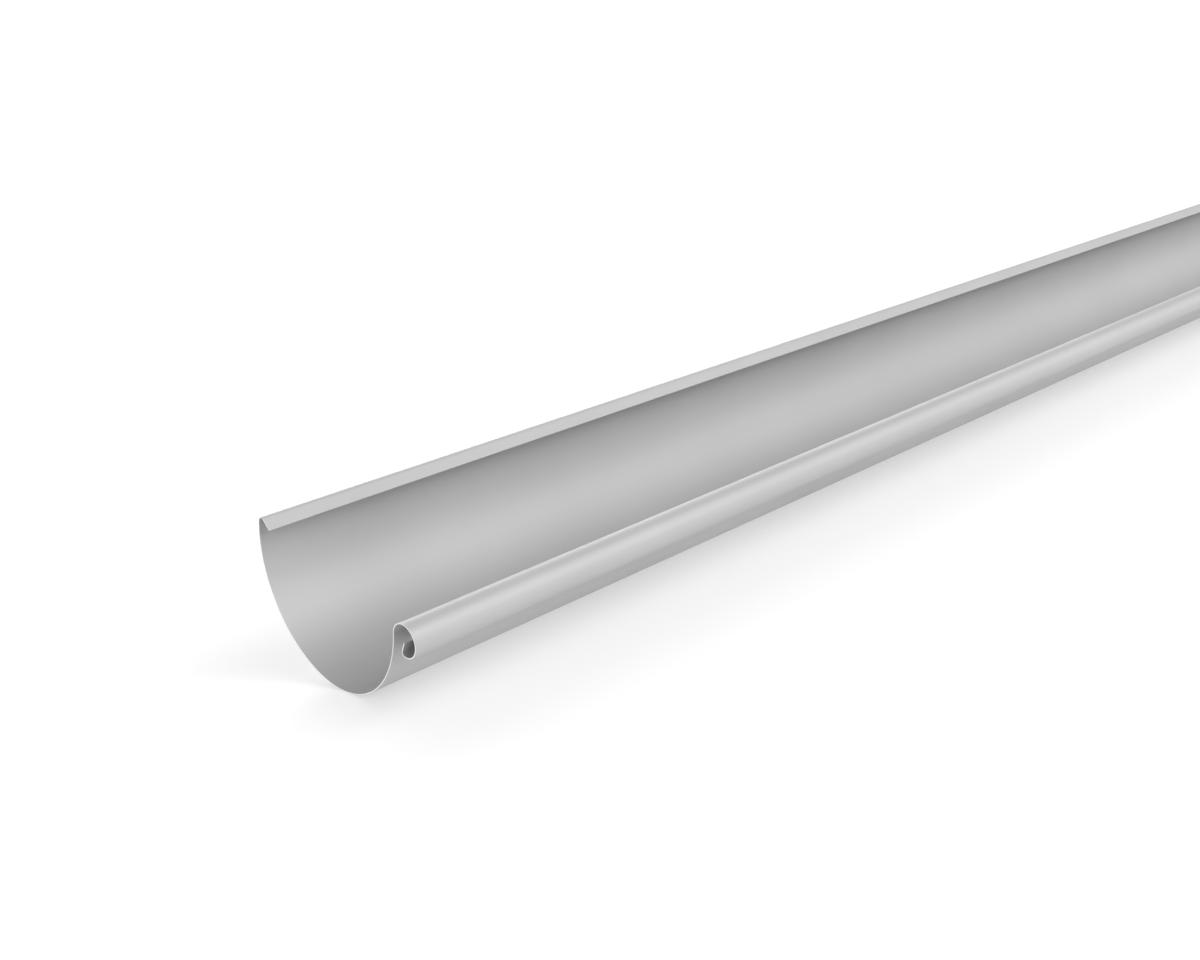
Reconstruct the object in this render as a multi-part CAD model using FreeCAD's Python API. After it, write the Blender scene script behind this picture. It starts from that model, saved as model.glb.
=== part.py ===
import FreeCAD, Part

import math
import os

# Half-round eaves gutter, one stock length roll-formed from coated steel strip, in millimetres.
# Every bend lies along the gutter. From the rear edge to the front edge they are the water
# flange, the rear fold, the trough, the front bead and the lip curled into the bead.
#
# The section is drawn as the gutter hangs: Y runs from the front bead (-Y) to the rear wall (+Y),
# Z is up and the trough's centre is at Y = Z = 0. The finished length is then rolled about X
# until its weight lies under the trough's centre, which is how it comes to rest on a level floor.

# Strip
LENGTH = 2000.0
SHEET = 0.6

# Trough
TROUGH_INSIDE_DIAMETER = 125.0

# Rear wall, rear fold and water flange
REAR_RISE = 16.0
FOLD_INSIDE_RADIUS = 2.7
FLANGE_SLOPE = 40.5
FLANGE_LENGTH = 6.9

# Front bead and its lip
BEAD_OUTSIDE_DIAMETER = 18.7
BEAD_DROP = 5.0
BEAD_END_ANGLE = 277.0
LIP_INSIDE_RADIUS = 1.3
LIP_ANGLE = 112.0
LIP_LENGTH = 6.1

# Radii of the bends at the middle of the sheet
HALF_SHEET = SHEET / 2
TROUGH_RADIUS = TROUGH_INSIDE_DIAMETER / 2 + HALF_SHEET
FOLD_RADIUS = FOLD_INSIDE_RADIUS + HALF_SHEET
BEAD_RADIUS = BEAD_OUTSIDE_DIAMETER / 2 - HALF_SHEET
LIP_RADIUS = LIP_INSIDE_RADIUS + HALF_SHEET


def polar(centre, radius, angle):
    """The section point (y, z) at that radius and angle about a centre.

    Angles are in degrees, from +Y towards +Z.
    """
    turn = math.radians(angle)
    return (centre[0] + radius * math.cos(turn), centre[1] + radius * math.sin(turn))


def vector(point):
    """The place of a section point on the gutter's first cut end."""
    return FreeCAD.Vector(0, point[0], point[1])


def line(start, end):
    """A straight edge of the section."""
    return Part.LineSegment(vector(start), vector(end)).toShape()


def arc(centre, radius, start_angle, end_angle):
    """A round edge of the section."""
    angles = (start_angle, (start_angle + end_angle) / 2, end_angle)
    points = [vector(polar(centre, radius, angle)) for angle in angles]
    return Part.Arc(*points).toShape()


def bends():
    """The four bends from the rear to the front: centre, middle radius, start and end angle.

    Each bend starts in the direction the one before it ends in. The angles fall through the
    fold and the trough. They rise through the bead and the lip, which turn the other way.
    """
    fold_height = REAR_RISE - HALF_SHEET - FOLD_RADIUS
    trough_start = math.degrees(math.asin(fold_height / (TROUGH_RADIUS - FOLD_RADIUS)))
    bead_start = math.degrees(math.asin(BEAD_DROP / (TROUGH_RADIUS + BEAD_RADIUS)))
    trough_end = bead_start - 180

    trough_centre = (0, 0)
    fold_centre = polar(trough_centre, TROUGH_RADIUS - FOLD_RADIUS, trough_start)
    bead_centre = polar(trough_centre, TROUGH_RADIUS + BEAD_RADIUS, trough_end)
    lip_centre = polar(bead_centre, BEAD_RADIUS - LIP_RADIUS, BEAD_END_ANGLE)

    return [
        (fold_centre, FOLD_RADIUS, FLANGE_SLOPE + 90, trough_start),
        (trough_centre, TROUGH_RADIUS, trough_start, trough_end),
        (bead_centre, BEAD_RADIUS, bead_start, BEAD_END_ANGLE),
        (lip_centre, LIP_RADIUS, BEAD_END_ANGLE, LIP_ANGLE + 270),
    ]


def sheet_side(offset):
    """One side of the sheet: the flange's tip, the lip's tip and the edges between them.

    The offset is from the middle of the sheet, positive on the side the rain never wets.
    """
    arcs = []
    arc_ends = []
    for centre, middle_radius, start_angle, end_angle in bends():
        turn = 1 if end_angle < start_angle else -1
        radius = middle_radius + turn * offset
        arcs.append(arc(centre, radius, start_angle, end_angle))
        arc_ends.append((polar(centre, radius, start_angle), polar(centre, radius, end_angle)))
    fold_start = arc_ends[0][0]
    lip_start = arc_ends[-1][1]
    flange_tip = polar(fold_start, FLANGE_LENGTH, FLANGE_SLOPE + 180)
    lip_tip = polar(lip_start, LIP_LENGTH, LIP_ANGLE)
    return flange_tip, lip_tip, [line(flange_tip, fold_start), *arcs, line(lip_start, lip_tip)]


def section():
    """The cut end of the sheet, as a face."""
    outer_flange_tip, outer_lip_tip, outer_edges = sheet_side(HALF_SHEET)
    inner_flange_tip, inner_lip_tip, inner_edges = sheet_side(-HALF_SHEET)
    lip_edge = line(outer_lip_tip, inner_lip_tip)
    flange_edge = line(inner_flange_tip, outer_flange_tip)
    outline = Part.Wire([*outer_edges, lip_edge, *reversed(inner_edges), flange_edge])
    return Part.Face(outline)


def hanging_gutter():
    """The whole length, with its middle at X = 0, as it hangs under the eaves."""
    gutter = section().extrude(FreeCAD.Vector(LENGTH, 0, 0))
    gutter.translate(FreeCAD.Vector(-LENGTH / 2, 0, 0))
    return gutter


def laid_down(gutter):
    """The gutter rolled bead side down until it rests, with its lowest line at Z = 0."""
    weight = gutter.CenterOfMass
    rest_roll = math.degrees(math.atan2(-weight.y, -weight.z))
    gutter.rotate(FreeCAD.Vector(0, 0, 0), FreeCAD.Vector(1, 0, 0), rest_roll)
    box = gutter.BoundBox
    gutter.translate(FreeCAD.Vector(0, -box.Center.y, -box.ZMin))
    return gutter


os.makedirs("parts", exist_ok=True)
laid_down(hanging_gutter()).exportStep("parts/gutter.step")
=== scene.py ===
import math

import bpy
from mathutils import Matrix, Vector


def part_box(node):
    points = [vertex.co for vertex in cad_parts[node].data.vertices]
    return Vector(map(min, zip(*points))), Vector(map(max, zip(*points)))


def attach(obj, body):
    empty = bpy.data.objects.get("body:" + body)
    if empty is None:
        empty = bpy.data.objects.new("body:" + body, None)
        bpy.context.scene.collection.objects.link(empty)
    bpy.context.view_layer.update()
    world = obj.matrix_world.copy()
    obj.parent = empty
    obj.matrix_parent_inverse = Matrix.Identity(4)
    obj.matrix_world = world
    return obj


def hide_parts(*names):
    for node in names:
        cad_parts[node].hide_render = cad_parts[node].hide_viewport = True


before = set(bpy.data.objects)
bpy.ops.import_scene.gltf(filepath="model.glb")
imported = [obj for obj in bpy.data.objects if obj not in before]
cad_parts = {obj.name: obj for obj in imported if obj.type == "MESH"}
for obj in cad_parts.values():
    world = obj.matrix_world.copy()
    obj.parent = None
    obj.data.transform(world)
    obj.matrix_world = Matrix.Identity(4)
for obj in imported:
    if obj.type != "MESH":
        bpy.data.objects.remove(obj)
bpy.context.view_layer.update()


# The gutter: one strip of coil-coated sheet steel, roll-formed along its whole length into a
# half-round trough with a hollow bead in front and a water flange folded in at the rear.
# It is cut square at both ends, and lies rolled onto its belly, bead side down.
SHEET = 0.0006
TROUGH_RADIUS = 0.0628
FOLD_HEIGHT = 0.0127
FOLD_RADIUS = 0.003
FLANGE_SLOPE = 40.5
FLANGE_LENGTH = 0.0069
BEAD_RADIUS = 0.00905
BEAD_DROP = 0.005
BEAD_END_ANGLE = 277.0
LIP_RADIUS = 0.0016
LIP_ANGLE = 112.0
LIP_LENGTH = 0.0061
REST_ROLL = 14.035
TROUGH_CENTRE_BACK = 0.007287
TROUGH_CENTRE_UP = 0.0631
STATIONS = 41
MERGE_DISTANCE = 1e-6
CREASE_ANGLE = 0.5


def polar(centre, radius, angle):
    turn = math.radians(angle)
    return Vector((0, centre.y + radius * math.cos(turn), centre.z + radius * math.sin(turn)))


def bend(centre, radius, start_angle, end_angle, step):
    count = math.ceil(abs(end_angle - start_angle) / step)
    turn = (end_angle - start_angle) / count
    return [polar(centre, radius, start_angle + turn * i) for i in range(count + 1)]


def strip_line():
    """The middle of the sheet from the flange's tip to the lip's tip, about the trough's centre."""
    trough_start = math.degrees(math.asin(FOLD_HEIGHT / (TROUGH_RADIUS - FOLD_RADIUS)))
    bead_start = math.degrees(math.asin(BEAD_DROP / (TROUGH_RADIUS + BEAD_RADIUS)))
    trough = Vector((0, 0, 0))
    fold = polar(trough, TROUGH_RADIUS - FOLD_RADIUS, trough_start)
    bead = polar(trough, TROUGH_RADIUS + BEAD_RADIUS, bead_start - 180)
    lip = polar(bead, BEAD_RADIUS - LIP_RADIUS, BEAD_END_ANGLE)

    line = bend(fold, FOLD_RADIUS, FLANGE_SLOPE + 90, trough_start, 5)
    line += bend(trough, TROUGH_RADIUS, trough_start, bead_start - 180, 1.5)[1:]
    line += bend(bead, BEAD_RADIUS, bead_start, BEAD_END_ANGLE, 3)[1:]
    line += bend(lip, LIP_RADIUS, BEAD_END_ANGLE, LIP_ANGLE + 270, 6)[1:]
    flange_tip = polar(line[0], FLANGE_LENGTH, FLANGE_SLOPE + 180)
    lip_tip = polar(line[-1], LIP_LENGTH, LIP_ANGLE)
    return [flange_tip, *line, lip_tip]


def add_node(tree, kind, settings=None, inputs=None):
    """A new node with its settings, and with values or other nodes' outputs on its inputs."""
    node = tree.nodes.new(kind)
    for name, value in (settings or {}).items():
        setattr(node, name, value)
    for name, value in (inputs or {}).items():
        if isinstance(value, bpy.types.NodeSocket):
            tree.links.new(value, node.inputs[name])
        else:
            node.inputs[name].default_value = value
    return node


def linear(hex_colour):
    """A colour from its sRGB hex value."""
    channels = [int(hex_colour[i : i + 2], 16) / 255 for i in (1, 3, 5)]
    return [c / 12.92 if c <= 0.04045 else ((c + 0.055) / 1.055) ** 2.4 for c in channels] + [1]


def coil_coated_steel():
    """Hot-dip galvanised sheet with a baked polyester coat, rolled on before the strip is formed.
    The eye sees one even light grey with a satin sheen, a fine grain that softens reflections,
    and faint straight lines along the length where the forming rolls have run."""
    material = bpy.data.materials.new("coil_coated_steel")
    material.use_nodes = True
    tree = material.node_tree
    shader = tree.nodes["Principled BSDF"]
    place = add_node(tree, "ShaderNodeTexCoord").outputs["Object"]

    # The coat's grain is 0.3 mm across; it is drawn four times as coarse, at 1.2 mm, to show.
    grain = add_node(
        tree,
        "ShaderNodeTexNoise",
        None,
        {"Vector": place, "Scale": 1 / 0.0012, "Detail": 2.0, "Roughness": 0.5},
    ).outputs[0]
    # The roll lines are 3 mm apart across the strip and fade in and out over half a metre.
    drawn_out = add_node(
        tree, "ShaderNodeMapping", None, {"Vector": place, "Scale": (0.006, 1.0, 1.0)}
    ).outputs[0]
    roll_lines = add_node(
        tree,
        "ShaderNodeTexNoise",
        None,
        {"Vector": drawn_out, "Scale": 1 / 0.003, "Detail": 3.0, "Roughness": 0.55},
    ).outputs[0]
    # The coat's thickness wanders over about 80 mm, and the shade with it.
    clouds = add_node(
        tree, "ShaderNodeTexNoise", None, {"Vector": place, "Scale": 1 / 0.08, "Detail": 2.0}
    ).outputs[0]

    shade = add_node(tree, "ShaderNodeValToRGB", None, {"Fac": clouds})
    shade.color_ramp.elements[0].position = 0.3
    shade.color_ramp.elements[0].color = linear("#A4A5A4")
    shade.color_ramp.elements[1].position = 0.7
    shade.color_ramp.elements[1].color = linear("#A8A9A8")
    tree.links.new(shade.outputs["Color"], shader.inputs["Base Color"])

    sheen = add_node(
        tree,
        "ShaderNodeMapRange",
        None,
        {"Value": roll_lines, "From Min": 0.3, "From Max": 0.7, "To Min": 0.38, "To Max": 0.46},
    ).outputs[0]
    tree.links.new(sheen, shader.inputs["Roughness"])
    shader.inputs["IOR"].default_value = 1.5

    lines_bump = add_node(
        tree,
        "ShaderNodeBump",
        None,
        {"Height": roll_lines, "Strength": 0.04, "Distance": 0.001},
    ).outputs[0]
    coat_bump = add_node(
        tree,
        "ShaderNodeBump",
        None,
        {"Height": grain, "Normal": lines_bump, "Strength": 0.06, "Distance": 0.0005},
    ).outputs[0]
    tree.links.new(coat_bump, shader.inputs["Normal"])
    return material


def bare_edge_with_painted_highlight():
    """The cut face of the sheet, left bare by the shear: steel with its zinc smeared over, paler
    than the coat.
    The eye sees a thin pale line, finely scored across the sheet; its near-white is partly a
    painted highlight, lifted above the bare metal's light grey to stand in for its reflection."""
    material = bpy.data.materials.new("sheared_edge_painted_highlight")
    material.use_nodes = True
    tree = material.node_tree
    shader = tree.nodes["Principled BSDF"]
    place = add_node(tree, "ShaderNodeTexCoord").outputs["Object"]
    # The shear's score marks are 0.05 mm apart; they are drawn at 0.4 mm to show.
    scores = add_node(
        tree, "ShaderNodeTexNoise", None, {"Vector": place, "Scale": 1 / 0.0004, "Detail": 2.0}
    ).outputs[0]
    # Near-white: the bare metal's paler colour, lifted further as a painted highlight for the
    # edge's reflection.
    shade = add_node(tree, "ShaderNodeValToRGB", None, {"Fac": scores})
    shade.color_ramp.elements[0].position = 0.3
    shade.color_ramp.elements[0].color = linear("#E2E3E0")
    shade.color_ramp.elements[1].position = 0.7
    shade.color_ramp.elements[1].color = linear("#F0F0ED")
    tree.links.new(shade.outputs["Color"], shader.inputs["Base Color"])
    shader.inputs["Metallic"].default_value = 0.2
    shader.inputs["Roughness"].default_value = 0.5
    score_bump = add_node(
        tree, "ShaderNodeBump", None, {"Height": scores, "Strength": 0.15, "Distance": 0.0002}
    ).outputs[0]
    tree.links.new(score_bump, shader.inputs["Normal"])
    return material


def roll_forming(coating, cut_edge):
    """Geometry Nodes that carry the section's line along X as a sheet of one thickness."""
    tree = bpy.data.node_groups.new("roll_forming", "GeometryNodeTree")
    face = tree.interface
    face.new_socket("Section line", in_out="INPUT", socket_type="NodeSocketGeometry")
    sizes = {}
    for name, kind, value in (
        ("Length", "NodeSocketFloat", 2.0),
        ("Sheet thickness", "NodeSocketFloat", SHEET),
        ("Stations", "NodeSocketInt", STATIONS),
    ):
        sizes[name] = face.new_socket(name, in_out="INPUT", socket_type=kind)
        sizes[name].default_value = value
    face.new_socket("Gutter", in_out="OUTPUT", socket_type="NodeSocketGeometry")

    given = add_node(tree, "NodeGroupInput").outputs
    half_length = add_node(
        tree, "ShaderNodeMath", {"operation": "MULTIPLY"}, {0: given["Length"], 1: 0.5}
    ).outputs[0]
    minus_half = add_node(
        tree, "ShaderNodeMath", {"operation": "MULTIPLY"}, {0: given["Length"], 1: -0.5}
    ).outputs[0]
    first_end = add_node(tree, "ShaderNodeCombineXYZ", None, {"X": minus_half}).outputs[0]
    last_end = add_node(tree, "ShaderNodeCombineXYZ", None, {"X": half_length}).outputs[0]
    length_line = add_node(
        tree, "GeometryNodeCurvePrimitiveLine", None, {"Start": first_end, "End": last_end}
    ).outputs[0]
    stations = add_node(
        tree,
        "GeometryNodeResampleCurve",
        None,
        {"Curve": length_line, "Count": given["Stations"]},
    ).outputs[0]
    section = add_node(
        tree, "GeometryNodeMeshToCurve", None, {"Mesh": given["Section line"]}
    ).outputs[0]
    middle = add_node(
        tree,
        "GeometryNodeCurveToMesh",
        None,
        {"Curve": section, "Profile Curve": stations},
    ).outputs[0]

    normal = add_node(tree, "GeometryNodeInputNormal").outputs[0]
    minus_half_sheet = add_node(
        tree, "ShaderNodeMath", {"operation": "MULTIPLY"}, {0: given["Sheet thickness"], 1: -0.5}
    ).outputs[0]
    inward = add_node(
        tree, "ShaderNodeVectorMath", {"operation": "SCALE"}, {0: normal, "Scale": minus_half_sheet}
    ).outputs[0]
    inner = add_node(
        tree, "GeometryNodeSetPosition", None, {"Geometry": middle, "Offset": inward}
    ).outputs[0]
    thickened = add_node(
        tree,
        "GeometryNodeExtrudeMesh",
        {"mode": "FACES"},
        {"Mesh": inner, "Offset Scale": given["Sheet thickness"], "Individual": False},
    )
    turned = add_node(tree, "GeometryNodeFlipFaces", None, {"Mesh": inner}).outputs[0]
    both = add_node(tree, "GeometryNodeJoinGeometry", None, {"Geometry": thickened.outputs["Mesh"]})
    tree.links.new(turned, both.inputs[0])
    sheet = add_node(
        tree,
        "GeometryNodeMergeByDistance",
        None,
        {"Geometry": both.outputs[0], "Distance": MERGE_DISTANCE},
    ).outputs[0]
    smooth = add_node(tree, "GeometryNodeSetShadeSmooth", None, {"Geometry": sheet}).outputs[0]
    edge_turn = add_node(tree, "GeometryNodeInputMeshEdgeAngle").outputs["Unsigned Angle"]
    is_corner = add_node(
        tree,
        "FunctionNodeCompare",
        {"operation": "GREATER_THAN"},
        {"A": edge_turn, "B": CREASE_ANGLE},
    ).outputs[0]
    creased = add_node(
        tree,
        "GeometryNodeSetShadeSmooth",
        {"domain": "EDGE"},
        {"Geometry": smooth, "Selection": is_corner, "Shade Smooth": False},
    ).outputs[0]
    real = add_node(tree, "GeometryNodeRealizeInstances", None, {"Geometry": creased}).outputs[0]
    coated = add_node(
        tree, "GeometryNodeSetMaterial", None, {"Geometry": real, "Material": coating}
    ).outputs[0]
    finished = add_node(
        tree,
        "GeometryNodeSetMaterial",
        None,
        {"Geometry": coated, "Selection": thickened.outputs["Side"], "Material": cut_edge},
    ).outputs[0]
    add_node(tree, "NodeGroupOutput", None, {"Gutter": finished})
    return tree, sizes


low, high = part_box("gutter")
line = strip_line()
roll = Matrix.Rotation(math.radians(REST_ROLL), 3, "X")
trough_centre = Vector((0, (low.y + high.y) / 2 + TROUGH_CENTRE_BACK, TROUGH_CENTRE_UP))
line = [roll @ p + trough_centre for p in line]

gutter_mesh = bpy.data.meshes.new("gutter_strip")
gutter_mesh.from_pydata(line, [(i, i + 1) for i in range(len(line) - 1)], [])
gutter = bpy.data.objects.new("gutter_strip", gutter_mesh)
bpy.context.scene.collection.objects.link(gutter)
tree, sizes = roll_forming(coil_coated_steel(), bare_edge_with_painted_highlight())
forming = gutter.modifiers.new("roll_forming", "NODES")
forming.node_group = tree
forming[sizes["Length"].identifier] = high.x - low.x
forming[sizes["Sheet thickness"].identifier] = SHEET
forming[sizes["Stations"].identifier] = STATIONS
depsgraph = bpy.context.evaluated_depsgraph_get()
formed = bpy.data.meshes.new_from_object(gutter.evaluated_get(depsgraph))
gutter.modifiers.remove(forming)
gutter.data = formed
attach(gutter, "root")
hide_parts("gutter")


# The floor: a plain white studio floor of matt painted board, wide enough to meet the walls
# in every view. It is itself faintly lit, so that no shadow on it is deep.
FLOOR_REACH = 40
floor_mesh = bpy.data.meshes.new("floor")
corner_signs = ((-1, -1), (1, -1), (1, 1), (-1, 1))
floor_corners = [(x * FLOOR_REACH, y * FLOOR_REACH, 0) for x, y in corner_signs]
floor_mesh.from_pydata(floor_corners, [], [(0, 1, 2, 3)])
floor = bpy.data.objects.new("floor", floor_mesh)
bpy.context.scene.collection.objects.link(floor)
floor_paint = bpy.data.materials.new("studio_floor")
floor_paint.use_nodes = True
shader = floor_paint.node_tree.nodes["Principled BSDF"]
shader.inputs["Base Color"].default_value = linear("#C8C8C8")
shader.inputs["Roughness"].default_value = 0.9
shader.inputs["Specular IOR Level"].default_value = 0.0
shader.inputs["Emission Color"].default_value = linear("#FFFFFF")
shader.inputs["Emission Strength"].default_value = 0.42
floor_mesh.materials.append(floor_paint)


# The light: a white studio whose backdrop glows behind the gutter, with one large soft box in
# front on the right and a faint one off the near end. Its walls are pale and its ceiling dim.
HORIZON_BRIGHTNESS = 0.87
CEILING_BRIGHTNESS = 0.12
CEILING_STARTS = 0.55
BACKDROP = ((0.49, 0.85, 0.17), 7.0, 6.0)
SOFT_BOX = ((0.50, -0.71, 0.49), 11.0, 6.0)
END_BOX = ((-0.94, -0.20, 0.28), 5.0, 1.2)
studio = bpy.data.worlds.new("studio")
bpy.context.scene.world = studio
studio.use_nodes = True
room = studio.node_tree
direction = add_node(room, "ShaderNodeTexCoord").outputs["Generated"]
height = add_node(room, "ShaderNodeSeparateXYZ", None, {0: direction}).outputs["Z"]
light = add_node(
    room,
    "ShaderNodeMapRange",
    {"interpolation_type": "SMOOTHSTEP"},
    {
        "Value": height,
        "From Min": 0.0,
        "From Max": CEILING_STARTS,
        "To Min": HORIZON_BRIGHTNESS,
        "To Max": CEILING_BRIGHTNESS,
    },
).outputs[0]
for towards, tightness, brightness in (BACKDROP, SOFT_BOX, END_BOX):
    nearness = add_node(
        room, "ShaderNodeVectorMath", {"operation": "DOT_PRODUCT"}, {0: direction, 1: towards}
    ).outputs["Value"]
    fall = add_node(
        room,
        "ShaderNodeMath",
        {"operation": "MULTIPLY_ADD"},
        {0: nearness, 1: tightness, 2: math.log(brightness) - tightness},
    ).outputs[0]
    box = add_node(room, "ShaderNodeMath", {"operation": "EXPONENT"}, {0: fall}).outputs[0]
    light = add_node(room, "ShaderNodeMath", {"operation": "ADD"}, {0: light, 1: box}).outputs[0]
background = room.nodes["Background"]
background.inputs["Color"].default_value = linear("#FFFFFF")
room.links.new(light, background.inputs["Strength"])
bpy.context.scene.view_settings.view_transform = "Standard"


# The camera: above and in front of the gutter's left end, looking along it. It is placed about
# the trough's centre as the gutter hangs, and rolled with the gutter.
CAMERA_OFFSET = Vector((-0.31232, -0.54291, 0.32907))
CAMERA_HEADING = 46.818
CAMERA_PITCH = -24.041
camera_data = bpy.data.cameras.new("camera")
camera_data.lens = 40
camera_data.sensor_width = 36
camera_data.clip_end = 100
camera = bpy.data.objects.new("camera", camera_data)
bpy.context.scene.collection.objects.link(camera)
heading = Matrix.Rotation(math.radians(CAMERA_HEADING - 90), 4, "Z")
pitch = Matrix.Rotation(math.radians(90 + CAMERA_PITCH), 4, "X")
left_end = Vector((low.x, trough_centre.y, trough_centre.z))
place = Matrix.Translation(left_end) @ roll.to_4x4()
camera.matrix_world = place @ Matrix.Translation(CAMERA_OFFSET) @ heading @ pitch
bpy.context.scene.camera = camera
